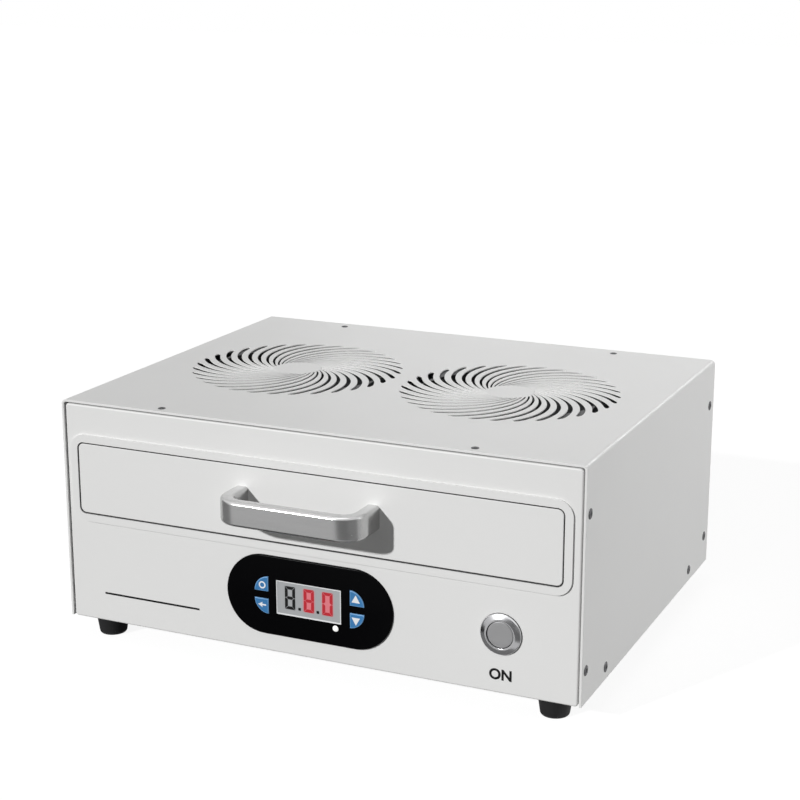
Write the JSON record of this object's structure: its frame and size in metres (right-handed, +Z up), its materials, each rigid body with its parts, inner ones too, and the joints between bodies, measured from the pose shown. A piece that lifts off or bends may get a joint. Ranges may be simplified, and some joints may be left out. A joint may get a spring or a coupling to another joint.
{
  "type": "uv curing box",
  "caption": "Bench-top ultraviolet curing box: sheet-metal case with a pull-out tray drawer, bow handle, timer panel, round start button and spiral fan grilles.",
  "frame": {"origin": "centre of the bounding box's footprint, on the bench under the feet", "axes": "+X to the right as seen from the front, -Y towards the front with the drawer and timer, +Z up"},
  "size_m": [0.3462, 0.3046, 0.1586],
  "materials": {
    "case_paint": "satin",
    "drawer_paint": "satin",
    "frame_steel": "satin",
    "tray_steel": "satin",
    "slide_steel": "satin",
    "lamp_metal": "satin",
    "lamp_board": "matte",
    "emitter": "gloss",
    "fan_plastic": "matte",
    "handle_metal": "satin",
    "screw_dark": "satin",
    "screw_zinc": "satin",
    "spring_steel": "satin",
    "bezel_black": "gloss",
    "moulded_black": "matte",
    "window_grey": "gloss",
    "key_blue": "satin",
    "indicator": "gloss",
    "button_chrome": "polished",
    "cap_metal": "satin",
    "circuit_green": "satin",
    "supply_metal": "satin",
    "terminal_black": "matte",
    "driver_metal": "matte",
    "pin_metal": "polished",
    "rocker_black": "gloss",
    "magnet_metal": "satin",
    "mat_silicone": "matte",
    "foot_rubber": "matte"
  },
  "bodies": {
    "case": {"base_pan": "case_paint", "front_panel": "case_paint", "rear_panel": "case_paint", "top_cover": "case_paint", "side_plate_left": "frame_steel", "side_plate_right": "frame_steel", "mid_deck": "frame_steel", "slide_outer_left": "slide_steel", "slide_outer_right": "slide_steel", "lamp_plate": "lamp_metal", "lamp_board_left": "lamp_board", "lamp_board_right": "lamp_board", "lamp_emitters": "emitter", "fan_shelf": "frame_steel", "fan_frames": "fan_plastic", "fan_screws": "screw_zinc", "drawer_sensor": "moulded_black", "timer_bezel": "bezel_black", "timer_case": "moulded_black", "timer_board": "circuit_green", "timer_clamp": "moulded_black", "display_window": "window_grey", "indicator_lamp": "indicator", "button_housing": "button_chrome", "button_nut": "screw_zinc", "button_contacts": "moulded_black", "power_supply": "supply_metal", "supply_terminals": "terminal_black", "lamp_driver": "driver_metal", "inlet_socket": "moulded_black", "inlet_pins": "pin_metal", "inlet_screws": "screw_zinc", "switch_frame": "moulded_black", "feet": "foot_rubber", "foot_nuts": "screw_zinc", "cover_side_screws": "screw_dark", "cover_top_screws": "screw_dark", "clip_nuts": "spring_steel"},
    "drawer": {"drawer_front": "drawer_paint", "drawer_backing": "frame_steel", "tray_floor": "tray_steel", "tray_sides": "tray_steel", "tray_ends": "tray_steel", "tray_mat": "mat_silicone", "handle": "handle_metal", "handle_screws": "screw_zinc", "drawer_magnet": "magnet_metal", "slide_inner_left": "slide_steel", "slide_inner_right": "slide_steel"},
    "slide_middle_left": {"slide_middle_left": "slide_steel"},
    "slide_middle_right": {"slide_middle_right": "slide_steel"},
    "fan_rotor_left": {"fan_rotor_left": "fan_plastic"},
    "fan_rotor_right": {"fan_rotor_right": "fan_plastic"},
    "start_button": {"start_button": "cap_metal"},
    "key_upper_left": {"key_upper_left": "key_blue"},
    "key_lower_left": {"key_lower_left": "key_blue"},
    "key_upper_right": {"key_upper_right": "key_blue"},
    "key_lower_right": {"key_lower_right": "key_blue"},
    "power_rocker": {"power_rocker": "rocker_black"}
  },
  "joints": [
    {"name": "drawer_slide", "type": "slide", "parent": "case", "child": "drawer", "axis": [0, -1, 0], "range_m": [0, 0.2]},
    {"name": "slide_left", "type": "slide", "parent": "case", "child": "slide_middle_left", "axis": [0, -1, 0], "range_m": [0, 0.1]},
    {"name": "slide_right", "type": "slide", "parent": "case", "child": "slide_middle_right", "axis": [0, -1, 0], "range_m": [0, 0.1]},
    {"name": "fan_spin_left", "type": "hinge", "parent": "case", "child": "fan_rotor_left", "pos_m": [-0.0757, 0.0123, 0.1486], "axis": [0, 0, 1], "continuous": true},
    {"name": "fan_spin_right", "type": "hinge", "parent": "case", "child": "fan_rotor_right", "pos_m": [0.0757, 0.0123, 0.1486], "axis": [0, 0, 1], "continuous": true},
    {"name": "start_press", "type": "slide", "parent": "case", "child": "start_button", "axis": [0, 1, 0], "range_m": [0, 0.003], "stiffness_N_per_m": 600, "springref_m": -0.001},
    {"name": "key_press_upper_left", "type": "slide", "parent": "case", "child": "key_upper_left", "axis": [0, 1, 0], "range_m": [0, 0.0005], "stiffness_N_per_m": 1500, "springref_m": -0.0003},
    {"name": "key_press_lower_left", "type": "slide", "parent": "case", "child": "key_lower_left", "axis": [0, 1, 0], "range_m": [0, 0.0005], "stiffness_N_per_m": 1500, "springref_m": -0.0003},
    {"name": "key_press_upper_right", "type": "slide", "parent": "case", "child": "key_upper_right", "axis": [0, 1, 0], "range_m": [0, 0.0005], "stiffness_N_per_m": 1500, "springref_m": -0.0003},
    {"name": "key_press_lower_right", "type": "slide", "parent": "case", "child": "key_lower_right", "axis": [0, 1, 0], "range_m": [0, 0.0005], "stiffness_N_per_m": 1500, "springref_m": -0.0003},
    {"name": "rocker_tilt", "type": "hinge", "parent": "case", "child": "power_rocker", "pos_m": [0.07, 0.1483, 0.0496], "axis": [1, 0, 0], "range_deg": [-18, 0]}
  ],
  "couplings": [
    {"joint": "slide_left", "follows": "drawer_slide", "ratio": 0.5},
    {"joint": "slide_right", "follows": "drawer_slide", "ratio": 0.5}
  ]
}
